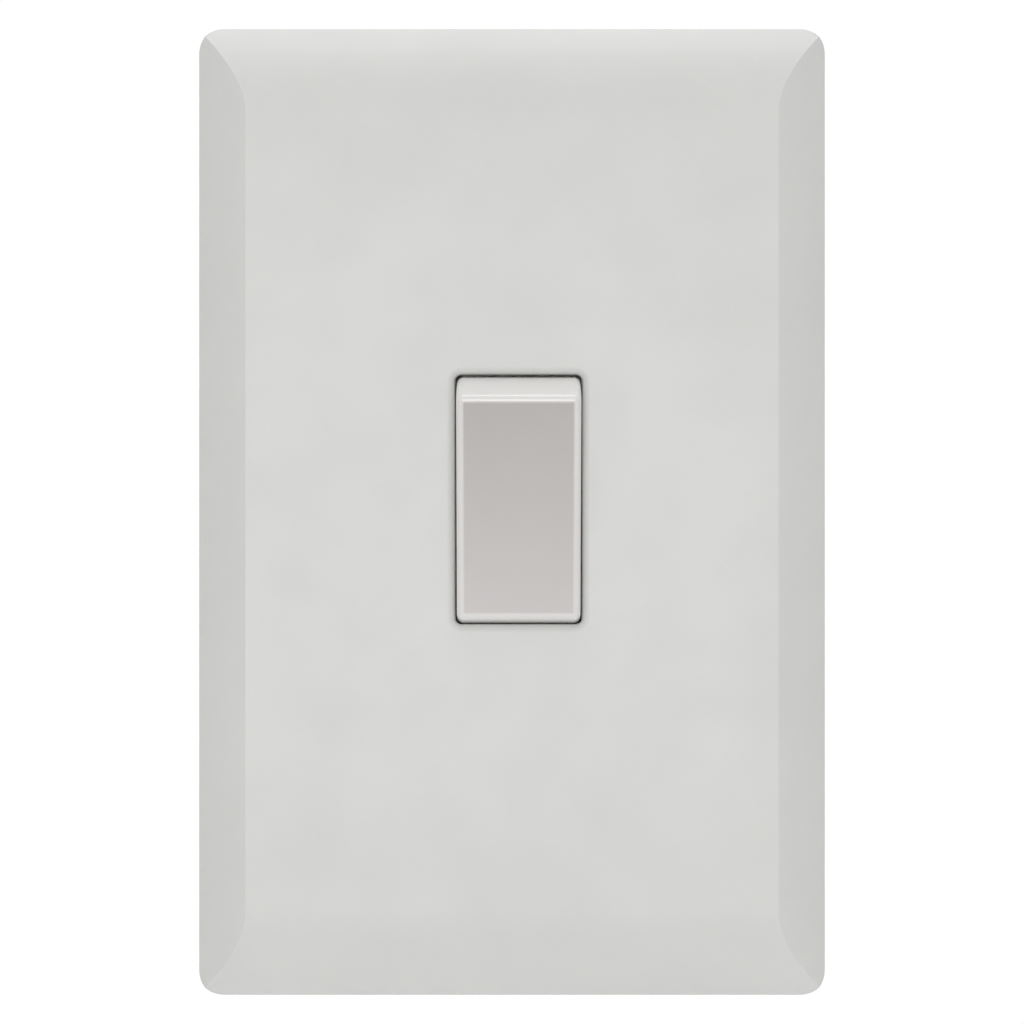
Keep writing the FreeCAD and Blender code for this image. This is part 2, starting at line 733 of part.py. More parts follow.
def mounting_strap():
    strap = rounded_block(strap_half_width, strap_half_height, strap_corner_r, strap_front, 0)
    opening_x = base_half_width + strap_opening_gap
    opening_z = base_half_height + latch_thickness + strap_opening_gap
    strap = strap.cut(in_module(block(-opening_x, opening_x, strap_front - 1, 1, -opening_z, opening_z)))
    half_slot = (box_slot_length - box_slot_width) / 2
    for end in (-1, 1):
        z = end * box_screw_pitch / 2
        r = box_slot_width / 2
        slot = block(-half_slot, half_slot, strap_front - 1, 1, z - r, z + r)
        slot = slot.multiFuse([rod_y(r, strap_front - 1, 1, x, z) for x in (-half_slot, half_slot)])
        strap = strap.cut(slot)
        for side in (-1, 1):
            strap = strap.cut(rod_y(peg_r + peg_hole_gap, strap_front - 1, 1, side * peg_x, end * peg_z))
            rivet_z = end * (peg_z + clip_rivet_offset)
            strap = strap.cut(rod_y(rivet_r, strap_front - 1, 1, side * peg_x, rivet_z))
    tab = block(-earth_tab_x, -earth_tab_x + strap_thickness, strap_front, earth_tab_depth,
                earth_tab_z - earth_tab_half_width, earth_tab_z + earth_tab_half_width)
    tab_back = strap_thickness - earth_tab_x + cut_past
    tab_hole = rod_x(clamp_screw_r, -earth_tab_x - cut_past, tab_back, earth_screw_y, earth_tab_z)
    return fused([strap, tab]).cut(tab_hole)


def cover_clip():
    # spring clip round the waist of the upper right peg: two legs and a riveted tail
    grip = peg_groove_r + running_gap
    front = strap_front - clip_thickness
    plate = block(peg_x - clip_half_width, peg_x + clip_half_width, front, strap_front,
                  peg_z - clip_nose, peg_z + clip_tail)
    gap = block(peg_x - grip, peg_x + grip, front - 1, 0, peg_z - clip_nose - 1, peg_z)
    plate = plate.cut(gap.fuse(rod_y(grip, front - 1, 0, peg_x, peg_z)))
    return plate.cut(rod_y(rivet_r, front - 1, 0, peg_x, peg_z + clip_rivet_offset))


def clip_rivet():
    z = peg_z + clip_rivet_offset
    front = strap_front - clip_thickness
    shank = rod_y(rivet_r, front, 0, peg_x, z)
    head = rod_y(rivet_head_r, front - rivet_head_height, front, peg_x, z)
    tail = rod_y(rivet_head_r, 0, rivet_head_height, peg_x, z)
    return fused([shank, head, tail])


def four_corners(solid):
    # one piece at each of the four pegs
    right = [solid, mirrored(solid, axis_z)]
    return Part.makeCompound(right + [mirrored(s, axis_x) for s in right])


os.makedirs("parts", exist_ok=True)

save("cover_plate", cover_plate())
save("mounting_strap", mounting_strap())
save("cover_clips", four_corners(cover_clip()))
save("clip_rivets", four_corners(clip_rivet()))
save("box_screws", Part.makeCompound([box_screw(z) for z in (box_screw_pitch / 2, -box_screw_pitch / 2)]))
save("earth_screw", earth_screw())

save("module_base", in_module(module_base()))
save("module_collar", in_module(module_collar()))
latch = module_latch()
save("module_latches", Part.makeCompound([in_module(latch), in_module(mirrored(latch, axis_z))]))

save("rocker_cap", in_rocker(rocker_cap()))
save("rocker_carrier", in_rocker(rocker_carrier()))
save("plunger", in_rocker(plunger()))
save("plunger_spring", in_rocker(plunger_spring()))

save("contact_seesaw", in_seesaw(contact_seesaw()))
save("moving_contact", in_seesaw(moving_contact()))
save("fixed_contact", in_module(fixed_contact()))
save("common_terminal", in_module(common_terminal()))
save("switched_terminal", in_module(switched_terminal()))

save("common_clamp_plate", in_module(clamp_plate()))
save("switched_clamp_plate", in_module(mirrored(clamp_plate(), axis_z)))
save("common_clamp_screw", in_module(clamp_screw()))
save("switched_clamp_screw", in_module(mirrored(clamp_screw(), axis_z)))
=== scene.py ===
import json
import math

import bmesh
import bpy
from mathutils import Matrix, Vector


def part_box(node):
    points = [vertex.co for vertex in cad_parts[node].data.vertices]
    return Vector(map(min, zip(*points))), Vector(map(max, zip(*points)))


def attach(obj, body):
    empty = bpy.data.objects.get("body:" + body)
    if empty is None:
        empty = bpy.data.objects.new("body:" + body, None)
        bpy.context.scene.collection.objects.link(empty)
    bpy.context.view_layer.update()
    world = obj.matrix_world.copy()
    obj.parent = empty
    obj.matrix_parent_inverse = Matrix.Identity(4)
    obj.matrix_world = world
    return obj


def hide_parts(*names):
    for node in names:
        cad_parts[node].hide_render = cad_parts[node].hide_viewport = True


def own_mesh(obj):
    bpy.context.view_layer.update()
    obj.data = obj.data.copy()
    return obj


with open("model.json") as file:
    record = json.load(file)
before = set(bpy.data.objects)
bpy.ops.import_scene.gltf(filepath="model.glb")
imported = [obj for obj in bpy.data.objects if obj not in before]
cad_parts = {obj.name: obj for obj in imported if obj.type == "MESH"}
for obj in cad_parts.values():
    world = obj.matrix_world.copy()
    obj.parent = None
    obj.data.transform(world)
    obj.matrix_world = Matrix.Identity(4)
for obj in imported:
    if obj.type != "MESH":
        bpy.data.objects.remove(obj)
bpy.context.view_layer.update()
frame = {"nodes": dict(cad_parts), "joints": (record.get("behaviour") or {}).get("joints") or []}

mm = 0.001


def jointNamed(name):
    return next(j for j in frame["joints"] if j["name"] == name)


# helpers for materials
def newMaterial(name, roughness, metallic=0.0):
    material = bpy.data.materials.new(name)
    material.use_nodes = True
    shader = material.node_tree.nodes["Principled BSDF"]
    shader.inputs["Roughness"].default_value = roughness
    shader.inputs["Metallic"].default_value = metallic
    return material, material.node_tree, shader


def addNode(tree, kind, **values):
    node = tree.nodes.new(kind)
    for key, value in values.items():
        if key in node.inputs:
            node.inputs[key].default_value = value
        else:
            setattr(node, key, value)
    return node


def noiseAt(tree, scale, detail=4.0, roughness=0.55, stretch=None):
    # a noise in the object's own metres, drawn out along an axis when stretch is given
    place = addNode(tree, "ShaderNodeTexCoord")
    source = place.outputs["Object"]
    if stretch:
        mapping = addNode(tree, "ShaderNodeMapping")
        mapping.inputs["Scale"].default_value = stretch
        tree.links.new(source, mapping.inputs["Vector"])
        source = mapping.outputs["Vector"]
    noise = addNode(tree, "ShaderNodeTexNoise", Scale=scale, Detail=detail, Roughness=roughness)
    tree.links.new(source, noise.inputs["Vector"])
    return noise.outputs["Fac"]


def rampOf(tree, source, stops):
    ramp = addNode(tree, "ShaderNodeValToRGB")
    elements = ramp.color_ramp.elements
    while len(elements) < len(stops):
        elements.new(0.5)
    for element, (place, colour) in zip(elements, stops):
        element.position = place
        element.color = (*colour, 1.0)
    tree.links.new(source, ramp.inputs["Fac"])
    return ramp.outputs["Color"]


def rangeOf(tree, source, low, high, fromLow=0.3, fromHigh=0.7):
    spread = addNode(tree, "ShaderNodeMapRange")
    spread.inputs["From Min"].default_value = fromLow
    spread.inputs["From Max"].default_value = fromHigh
    spread.inputs["To Min"].default_value = low
    spread.inputs["To Max"].default_value = high
    tree.links.new(source, spread.inputs["Value"])
    return spread.outputs["Result"]


def bumpFrom(tree, shader, layers):
    # layers of (height, strength, depth in metres), one on top of the other
    under = None
    for height, strength, depth in layers:
        bump = addNode(tree, "ShaderNodeBump", Strength=strength, Distance=depth)
        tree.links.new(height, bump.inputs["Height"])
        if under:
            tree.links.new(under, bump.inputs["Normal"])
        under = bump.outputs["Normal"]
    tree.links.new(under, shader.inputs["Normal"])


def mathOf(tree, operation, a, b):
    step = addNode(tree, "ShaderNodeMath", operation=operation)
    for socket, value in zip(step.inputs, (a, b)):
        if hasattr(value, "default_value"):
            tree.links.new(value, socket)
        else:
            socket.default_value = value
    return step.outputs["Value"]


# finishes: moulded plastics
plastics = {
    # slot: light and dark of the faint mottling, roughness, grain of the mould, gloss coat, glow inside
    "plate": ((0.77, 0.775, 0.757), (0.745, 0.75, 0.732), 0.46, 0.2, 0.05, 0.2),
    "housing": ((0.56, 0.57, 0.57), (0.49, 0.5, 0.5), 0.5, 0.5, 0.0, 0.0),
    "collar": ((0.66, 0.66, 0.64), (0.6, 0.6, 0.58), 0.46, 0.35, 0.0, 0.0),
    "carrier": ((0.7, 0.67, 0.58), (0.64, 0.6, 0.5), 0.4, 0.25, 0.0, 0.25),
    "plunger": ((0.78, 0.78, 0.76), (0.72, 0.72, 0.7), 0.28, 0.15, 0.1, 0.2),
}
mouldMarks = {
    "mottleScale": 55.0, "grainScale": 2600.0, "smearScale": 140.0, "waveScale": 28.0,
    "shinier": 0.05, "duller": 0.06,  # how far the roughness strays either way
    "waveStrength": 0.25, "waveDepth": 0.00018, "grainDepth": 0.00003,  # depths in metres
    "coatRoughness": 0.12, "ior": 1.5, "glowRadius": (0.0016, 0.0014, 0.0011),
}


def setGlow(shader, weight):
    # light that enters the plastic and comes out again close by
    shader.inputs["Subsurface Weight"].default_value = weight
    shader.inputs["Subsurface Radius"].default_value = mouldMarks["glowRadius"]
    shader.inputs["Subsurface Scale"].default_value = 1.0


def mouldedPlastic(name, light, dark, roughness, grain, coat, body):
    # faint mottling in the colour, a fine spark-eroded grain and slow waves left by the mould
    marks = mouldMarks
    material, tree, shader = newMaterial(name, roughness)
    mottle = noiseAt(tree, marks["mottleScale"], detail=3.0)
    tree.links.new(rampOf(tree, mottle, [(0.3, dark), (0.7, light)]), shader.inputs["Base Color"])
    fine = noiseAt(tree, marks["grainScale"], detail=2.0)
    smear = noiseAt(tree, marks["smearScale"], detail=5.0)
    tree.links.new(rangeOf(tree, smear, roughness - marks["shinier"], roughness + marks["duller"]),
                   shader.inputs["Roughness"])
    slow = noiseAt(tree, marks["waveScale"], detail=1.0)
    bumpFrom(tree, shader, [(slow, marks["waveStrength"], marks["waveDepth"]),
                            (fine, grain, marks["grainDepth"])])
    shader.inputs["IOR"].default_value = marks["ior"]
    shader.inputs["Coat Weight"].default_value = coat
    shader.inputs["Coat Roughness"].default_value = marks["coatRoughness"]
    if body:
        setGlow(shader, body)
    return material


# finishes: metals
metals = {
    # slot: light and dark of the patches, roughness, which way the rolling lines run, how fine they are
    "zinc_steel": ((0.66, 0.67, 0.66), (0.5, 0.515, 0.52), 0.3, (1.0, 1.0, 0.04), 900.0),
    "spring_steel": ((0.52, 0.53, 0.55), (0.4, 0.41, 0.43), 0.26, (1.0, 1.0, 0.06), 1400.0),
    "rivet_steel": ((0.6, 0.6, 0.61), (0.47, 0.47, 0.48), 0.3, (1.0, 1.0, 1.0), 1200.0),
    "clamp_steel": ((0.6, 0.59, 0.55), (0.46, 0.455, 0.43), 0.36, (0.05, 1.0, 1.0), 1000.0),
    "brass": ((0.83, 0.62, 0.3), (0.66, 0.46, 0.2), 0.28, (1.0, 1.0, 0.05), 1000.0),
    "silver": ((0.84, 0.82, 0.78), (0.66, 0.62, 0.55), 0.3, (1.0, 1.0, 1.0), 800.0),
    "spring_wire": ((0.58, 0.58, 0.6), (0.45, 0.45, 0.47), 0.22, (0.1, 1.0, 0.1), 1500.0),
}
metalMarks = {
    "patchScale": 160.0, "shinier": 0.08, "duller": 0.12,
    "lineStrength": 0.3, "lineDepth": 0.00002,  # depths in metres
    "patchStrength": 0.2, "patchDepth": 0.00003,
}


def rolledMetal(name, light, dark, roughness, stretch, scale):
    # rolling lines in one direction, broken by soft patches in the plating
    marks = metalMarks
    material, tree, shader = newMaterial(name, roughness, 1.0)
    patches = noiseAt(tree, marks["patchScale"], detail=6.0, roughness=0.7)
    tree.links.new(rampOf(tree, patches, [(0.34, dark), (0.66, light)]), shader.inputs["Base Color"])
    lines = noiseAt(tree, scale, detail=4.0, stretch=stretch)
    tree.links.new(rangeOf(tree, lines, roughness - marks["shinier"], roughness + marks["duller"]),
                   shader.inputs["Roughness"])
    bumpFrom(tree, shader, [(lines, marks["lineStrength"], marks["lineDepth"]),
                            (patches, marks["patchStrength"], marks["patchDepth"])])
    return material


# the key: a satin touch face inside a polished rim; the rim's lighter colour is a painted highlight, and the
# face's darker colour is partly the key's own warmer grey and partly painted shade
keyFinish = {
    # the rim's colours are a painted highlight; the face's colours are partly its own darker tone, partly
    # painted shade
    "faceLight": (0.655, 0.628, 0.618), "faceDark": (0.54, 0.512, 0.498),
    "rimLight": (0.86, 0.845, 0.83), "rimDark": (0.835, 0.82, 0.805),
    "faceHalfWide": 6.62, "faceHalfTall": 12.75, "edgeSoftness": 0.16,  # in mm
    "paintedShadeFrom": -14.0, "paintedShadeTo": 14.0,  # painted shade: the face is coloured slowly darker towards its upper end
    "faceRoughness": 0.38, "rimRoughness": 0.26, "coat": 0.25, "coatRoughness": 0.22, "glow": 0.2,
    "toneLow": 0.68, "toneHigh": 0.32, "mottleShare": 0.12,  # the painted shade along the face, and its random unevenness
    "waveStrength": 0.15, "waveDepth": 0.0001, "grainStrength": 0.12, "grainDepth": 0.00002,
    "tilt": 8.5,  # in degrees, how far the key leans at rest
}


def keyMaterial():
    finish = keyFinish
    pivot = Vector(jointNamed("rocker_tilt")["pos_m"])
    # one material holding painted shade on the face and a painted highlight on the rim
    material, tree, shader = newMaterial("keyFaceShadeAndRimHighlight", finish["rimRoughness"])
    level = Matrix.Rotation(math.radians(-finish["tilt"]), 4, "X")
    place = addNode(tree, "ShaderNodeTexCoord")
    mapping = addNode(tree, "ShaderNodeMapping")
    mapping.inputs["Location"].default_value = -(level @ pivot)
    mapping.inputs["Rotation"].default_value = (math.radians(-finish["tilt"]), 0.0, 0.0)
    tree.links.new(place.outputs["Object"], mapping.inputs["Vector"])
    parts = addNode(tree, "ShaderNodeSeparateXYZ")
    tree.links.new(mapping.outputs["Vector"], parts.inputs["Vector"])
    soft = finish["edgeSoftness"] * mm
    masks = []
    for axis, half in (("X", finish["faceHalfWide"] * mm), ("Z", finish["faceHalfTall"] * mm)):
        away = mathOf(tree, "ABSOLUTE", parts.outputs[axis], 0.0)
        masks.append(rangeOf(tree, away, 1.0, 0.0, half - soft, half + soft))
    onFace = mathOf(tree, "MULTIPLY", masks[0], masks[1])
    mottle = noiseAt(tree, mouldMarks["mottleScale"], detail=3.0)
    # painted highlight: the rim is coloured lighter than the face
    rim = rampOf(tree, mottle, [(0.3, finish["rimDark"]), (0.7, finish["rimLight"])])
    # painted shade: the face's colour darkens towards its upper end
    along = rangeOf(tree, parts.outputs["Z"], finish["toneLow"], finish["toneHigh"],
                    finish["paintedShadeFrom"] * mm, finish["paintedShadeTo"] * mm)
    uneven = mathOf(tree, "MULTIPLY", mathOf(tree, "SUBTRACT", mottle, 0.5), finish["mottleShare"])
    # painted shade along the face plus random mottle
    shadeAndMottle = mathOf(tree, "ADD", along, uneven)
    face = rampOf(tree, shadeAndMottle, [(0.3, finish["faceDark"]), (0.7, finish["faceLight"])])
    mix = addNode(tree, "ShaderNodeMix", data_type="RGBA")
    tree.links.new(onFace, mix.inputs[0])
    tree.links.new(rim, mix.inputs[6])
    tree.links.new(face, mix.inputs[7])
    tree.links.new(mix.outputs[2], shader.inputs["Base Color"])
    tree.links.new(rangeOf(tree, onFace, finish["rimRoughness"], finish["faceRoughness"], 0.0, 1.0),
                   shader.inputs["Roughness"])
    fine = noiseAt(tree, mouldMarks["grainScale"], detail=2.0)
    slow = noiseAt(tree, mouldMarks["waveScale"], detail=1.0)
    bumpFrom(tree, shader, [(slow, finish["waveStrength"], finish["waveDepth"]),
                            (fine, finish["grainStrength"], finish["grainDepth"])])
    shader.inputs["IOR"].default_value = mouldMarks["ior"]
    shader.inputs["Coat Weight"].default_value = finish["coat"]
    shader.inputs["Coat Roughness"].default_value = finish["coatRoughness"]
    setGlow(shader, finish["glow"])
    return material


# turned and threaded metal
turning = {
    "screwLight": (0.68, 0.68, 0.66), "screwDark": (0.5, 0.5, 0.49), "screwRoughness": 0.27,
    "earthLight": (0.1, 0.42, 0.15), "earthDark": (0.05, 0.27, 0.08), "earthRoughness": 0.33,
    "earthMetallic": 0.75,
    "ringScale": 2600.0, "patchScale": 220.0, "shinier": 0.06, "duller": 0.12,
    "ringStrength": 0.35, "patchStrength": 0.15, "depth": 0.00002,  # depth in metres
}


def turnedMetal(name, light, dark, roughness, centre, across, metallic=1.0):
    # rings left by the lathe round a screw's axis; across names the two axes square to it
    material, tree, shader = newMaterial(name, roughness, metallic)
    place = addNode(tree, "ShaderNodeTexCoord")
    parts = addNode(tree, "ShaderNodeSeparateXYZ")
    tree.links.new(place.outputs["Object"], parts.inputs["Vector"])
    squares = []
    for axis in across:
        away = mathOf(tree, "SUBTRACT", parts.outputs[axis], getattr(centre, axis.lower()))
        squares.append(mathOf(tree, "MULTIPLY", away, away))
    radius = mathOf(tree, "SQRT", mathOf(tree, "ADD", squares[0], squares[1]), 0.0)
    rings = addNode(tree, "ShaderNodeTexNoise", noise_dimensions="1D", Scale=turning["ringScale"], Detail=2.0)
    tree.links.new(radius, rings.inputs["W"])
    patches = noiseAt(tree, turning["patchScale"], detail=5.0, roughness=0.65)
    tree.links.new(rampOf(tree, patches, [(0.35, dark), (0.65, light)]), shader.inputs["Base Color"])
    ringHeight = rings.outputs["Fac"]
    tree.links.new(rangeOf(tree, ringHeight, roughness - turning["shinier"], roughness + turning["duller"]),
                   shader.inputs["Roughness"])
    bumpFrom(tree, shader, [(ringHeight, turning["ringStrength"], turning["depth"]),
                            (patches, turning["patchStrength"], turning["depth"])])
    return material


def middleOf(node):
    low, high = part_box(node)
    return (low + high) / 2


def dress(piece, material):
    piece.data.materials.clear()
    piece.data.materials.append(material)


finishes = {"key": keyMaterial()}
for slot, values in plastics.items():
    finishes[slot] = mouldedPlastic(slot + "Finish", *values)
for slot, values in metals.items():
    finishes[slot] = rolledMetal(slot + "Finish", *values)
for name, node in frame["nodes"].items():
    slotName = node.data.materials[0].name
    if slotName in finishes:
        node.data.materials[0] = finishes[slotName]
for name in ("common_clamp_screw", "switched_clamp_screw"):
    frame["nodes"][name].data.materials[0] = turnedMetal(
        name + "Finish", turning["screwLight"], turning["screwDark"], turning["screwRoughness"],
        middleOf(name), "XZ")
print("stage 1: finishes on the frame's nodes")


# helpers for meshes
def lerp(a, b, share):
    return a + (b - a) * share


def newPiece(name, sheet):
    bmesh.ops.recalc_face_normals(sheet, faces=sheet.faces)
    mesh = bpy.data.meshes.new(name)
    sheet.to_mesh(mesh)
    sheet.free()
    piece = bpy.data.objects.new(name, mesh)
    bpy.context.scene.collection.objects.link(piece)
    return piece


def smoothed(piece, angle=32.0):
    for face in piece.data.polygons:
        face.use_smooth = True
    piece.data.set_sharp_from_angle(angle=math.radians(angle))
    return piece


def carved(piece, cutter):
    # takes the cutter's space out of the piece for good
    cut = piece.modifiers.new("carve", "BOOLEAN")
    cut.operation = "DIFFERENCE"
    cut.solver = "EXACT"
    cut.object = cutter
    graph = bpy.context.evaluated_depsgraph_get()
    result = bpy.data.meshes.new_from_object(piece.evaluated_get(graph))
    piece.modifiers.remove(cut)
    piece.data = result
    bpy.data.objects.remove(cutter)
    return piece


def bridgeRows(sheet, rows, following):
    # faces between each row of points and the one that follows it
    for one, other in zip(rows, following):
        for index in range(len(one)):
            after = (index + 1) % len(one)
            sheet.faces.new((one[index], one[after], other[after], other[index]))


def skinRows(sheet, rows):
    # a closed solid over a stack of rings of points
    bridgeRows(sheet, rows, rows[1:])
    sheet.faces.new(rows[0])
    sheet.faces.new(rows[-1])


def turnedForm(sheet, profile, place, sides=40):
    # a solid of revolution from (radius, height) pairs, closed at both ends
    rows = []
    for radius, height in profile:
        row = []
        for step in range(sides):
            turn = 2 * math.pi * step / sides
            spot = Vector((radius * math.cos(turn), radius * math.sin(turn), height)) * mm
            row.append(sheet.verts.new(place @ spot))
        rows.append(row)
    skinRows(sheet, rows)


# the screws with their threads
screwShape = {
    "pitch": 0.6, "threadDepth": 0.32,  # in mm
    "sides": 36, "stepsPerTurn": 8,
    "headSegments": 9, "domeShare": 0.45,
    "slotWidth": 0.9, "slotDepth": 1.1,
    "radius": 1.75, "neckLength": 1.7, "neckRadius": 1.4, "tipLength": 1.0, "tipTaper": 0.3,
    "crestFlat": 0.12,  # share of a turn that stays flat at the thread's crest, and at its root
    "headEdge": 0.1, "lap": 0.05, "slotPast": 1.0,
    "boxSlotAngle": 0, "earthSlotAngle": 40, "earthHeadHeight": 2.0, "earthRootInset": 0.05,
    "sharpAngle": 40.0,
}


def threadRings(radius, start, length, plainNeck, neckRadius):
    # (radius by angle, height) down the shank: a neck, then a helical thread that runs out at its tip
    shape = screwShape
    depth = shape["threadDepth"]
    steps = int(length / shape["pitch"] * shape["stepsPerTurn"])
    rings = []
    for step in range(steps + 1):
        down = length * step / steps
        row = []
        for side in range(shape["sides"]):
            phase = (down / shape["pitch"] - side / shape["sides"]) % 1.0
            valley = 1 - abs(2 * phase - 1)  # 0 at the crest, 1 at the root
            valley = min(1.0, max(0.0, (valley - shape["crestFlat"]) / (1 - 2 * shape["crestFlat"])))
            tip = max(0.0, (down - (length - shape["tipLength"])) / shape["tipLength"])
            cut = radius - depth * valley - shape["tipTaper"] * tip * radius
            if down < plainNeck:
                cut = neckRadius
            row.append(cut)
        rings.append((row, start - down))
    return rings


def threadedScrew(name, place, shankRadius, length, headRadius, headHeight, plainNeck, neckRadius, slotAngle):
    # place puts the screw's own frame, head up and head's seat at height 0, where the CAD has it
    shape = screwShape
    sheet = bmesh.new()
    dome = headHeight * shape["domeShare"]
    edge = shape["headEdge"]
    head = [(neckRadius, 0.0), (headRadius - edge, 0.0), (headRadius, edge), (headRadius, headHeight - dome)]
    for step in range(1, shape["headSegments"]):
        turn = math.radians(90.0 * step / (shape["headSegments"] - 1))
        head.append((headRadius - dome + dome * math.cos(turn), headHeight - dome + dome * math.sin(turn)))
    turnedForm(sheet, head, place)
    top = carved(newPiece(name + "Head", sheet), slotCutter(place, headRadius, headHeight, slotAngle))
    sheet = bmesh.new()
    rows = []
    for row, height in threadRings(shankRadius, shape["lap"], length + shape["lap"], plainNeck, neckRadius):
        ring = []
        for side, radius in enumerate(row):
            turn = 2 * math.pi * side / shape["sides"]
            spot = Vector((radius * math.cos(turn), radius * math.sin(turn), height)) * mm
            ring.append(sheet.verts.new(place @ spot))
        rows.append(ring)
    skinRows(sheet, rows)
    return joinPieces(name, [top, newPiece(name + "Shank", sheet)])


def slotCutter(place, headRadius, headHeight, angle):
    sheet = bmesh.new()
    bmesh.ops.create_cube(sheet, size=1.0)
    deep, past = screwShape["slotDepth"], screwShape["slotPast"]
    size = Vector((2 * (headRadius + past), screwShape["slotWidth"], deep + past)) * mm
    lift = Matrix.Translation(Vector((0, 0, headHeight - deep + (deep + past) / 2)) * mm)
    turned = Matrix.Rotation(math.radians(angle), 4, "Z")
    sized = Matrix.Diagonal((*size, 1.0))
    bmesh.ops.transform(sheet, matrix=place @ turned @ lift @ sized, verts=sheet.verts)
    return newPiece("slotCutter", sheet)


def joinPieces(name, parts):
    # several meshes as one piece
    sheet = bmesh.new()
    for part in parts:
        sheet.from_mesh(part.data)
        bpy.data.objects.remove(part)
    return newPiece(name, sheet)


def makeBoxScrews():
    low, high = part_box("box_screws")
    headRadius = (high.x - low.x) / 2
    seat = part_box("mounting_strap")[0].y
    headHeight = (seat - low.y) / mm
    length = (high.y - seat) / mm
    middleX = (low.x + high.x) / 2
    parts = []
    for z in (high.z - headRadius, low.z + headRadius):
        place = Matrix.Translation((middleX, seat, z)) @ Matrix.Rotation(math.radians(90), 4, "X")
        parts.append(threadedScrew("boxScrewPart", place, screwShape["radius"], length, headRadius / mm,
                                   headHeight, screwShape["neckLength"], screwShape["neckRadius"],
                                   screwShape["boxSlotAngle"]))
    piece = smoothed(joinPieces("boxScrewsThreaded", parts), screwShape["sharpAngle"])
    middle = Vector((middleX, 0, high.z - headRadius))
    dress(piece, turnedMetal("boxScrewFinish", turning["screwLight"], turning["screwDark"],
                             turning["screwRoughness"], middle, "XZ"))
    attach(piece, "housing")
    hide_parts("box_screws")


def makeEarthScrew():
    low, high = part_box("earth_screw")
    headRadius = (high.z - low.z) / 2
    middle = (low + high) / 2
    headHeight = screwShape["earthHeadHeight"]
    seatX = low.x + headHeight * mm
    length = (high.x - seatX) / mm
    place = Matrix.Translation((seatX, middle.y, middle.z)) @ Matrix.Rotation(math.radians(-90), 4, "Y")
    screw = threadedScrew("earthScrewThreaded", place, screwShape["radius"], length, headRadius / mm,
                          headHeight, 0.0, screwShape["radius"] - screwShape["earthRootInset"],
                          screwShape["earthSlotAngle"])
    smoothed(screw, screwShape["sharpAngle"])
    dress(screw, turnedMetal("earthScrewFinish", turning["earthLight"], turning["earthDark"],
                             turning["earthRoughness"], middle, "YZ", turning["earthMetallic"]))
    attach(screw, "housing")
    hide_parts("earth_screw")


makeBoxScrews()
makeEarthScrew()
print("stage 2: screws")


# the plunger's spring
springShape = {
    "coilRadius": 1.3, "wireRadius": 0.2,  # in mm
    "turns": 6, "closedTurns": 1.0, "closedPitch": 0.42,
    "wireSides": 12, "stepsPerTurn": 36, "clear": 0.02, "sharpAngle": 45.0,
}


def coilRise(turn, span):
    # height of the wire's middle after so many turns: close together at both ends, open between
    closed = springShape["closedTurns"]
    closedRise = closed * springShape["closedPitch"]
    openTurns = springShape["turns"] - 2 * closed
    if turn < closed:
        return turn * springShape["closedPitch"]
    if turn > closed + openTurns:
        return span - (springShape["turns"] - turn) * springShape["closedPitch"]
    return closedRise + (turn - closed) / openTurns * (span - 2 * closedRise)


def makeSpring():
    # its foot stays on the floor of the carrier's tube, and the whole coil rides with the rocker
    shape = springShape
    slide = jointNamed("plunger_slide")
    outward = -Vector(slide["axis"]).normalized()
    sideways = Vector((1.0, 0.0, 0.0))
    upward = outward.cross(sideways)
    pivot = Vector(jointNamed("rocker_tilt")["pos_m"])
    low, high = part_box("plunger_spring")
    wire = 2 * shape["wireRadius"] * mm
    length = (high.y - low.y - wire) / abs(outward.y) + wire
    middle = ((low + high) / 2 - pivot).dot(outward)
    foot = pivot + outward * (middle - length / 2)
    span = length / mm - 2 * shape["wireRadius"] - shape["clear"]
    steps = shape["turns"] * shape["stepsPerTurn"]
    middles = []
    for step in range(steps + 1):
        turn = step / shape["stepsPerTurn"]
        around = 2 * math.pi * turn
        spoke = sideways * math.cos(around) + upward * math.sin(around)
        rise = shape["wireRadius"] + coilRise(turn, span)
        middles.append((foot + (spoke * shape["coilRadius"] + outward * rise) * mm, spoke))
    sheet = bmesh.new()
    rows = []
    for step, (spot, spoke) in enumerate(middles):
        before, after = middles[max(step - 1, 0)][0], middles[min(step + 1, steps)][0]
        over = (after - before).normalized().cross(spoke).normalized()
        row = []
        for side in range(shape["wireSides"]):
            turn = 2 * math.pi * side / shape["wireSides"]
            row.append(sheet.verts.new(
                spot + (spoke * math.cos(turn) + over * math.sin(turn)) * shape["wireRadius"] * mm))
        rows.append(row)
    skinRows(sheet, rows)
    spring = smoothed(newPiece("plungerSpringCoil", sheet), shape["sharpAngle"])
    dress(spring, finishes["spring_wire"])
    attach(spring, "rocker")
    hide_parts("plunger_spring")
    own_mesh(spring)


makeSpring()
print("stage 3: plunger's spring")


# the housing's moulded details
housingShape = {
    "rimInner": 3.35, "rimOuter": 4.25, "rimHeight": 0.4,  # round each screw's access hole, in mm
    "rimSunk": 0.15, "rimShoulder": 0.5, "rimRound": 0.35, "rimSides": 56,
    "gripRibs": 5, "gripPitch": 1.9, "gripWidth": 0.8, "gripHeight": 0.28, "gripFrom": 9.5, "gripTo": 21.0,
    "panelWide": 6.4, "panelTall": 4.6, "panelWall": 0.5, "panelHeight": 0.22, "panelSoft": 0.08,
    "ribSoft": 0.12, "sunk": 0.2,  # how far the details go into the wall they stand on
    "sharpAngle": 35.0,
}


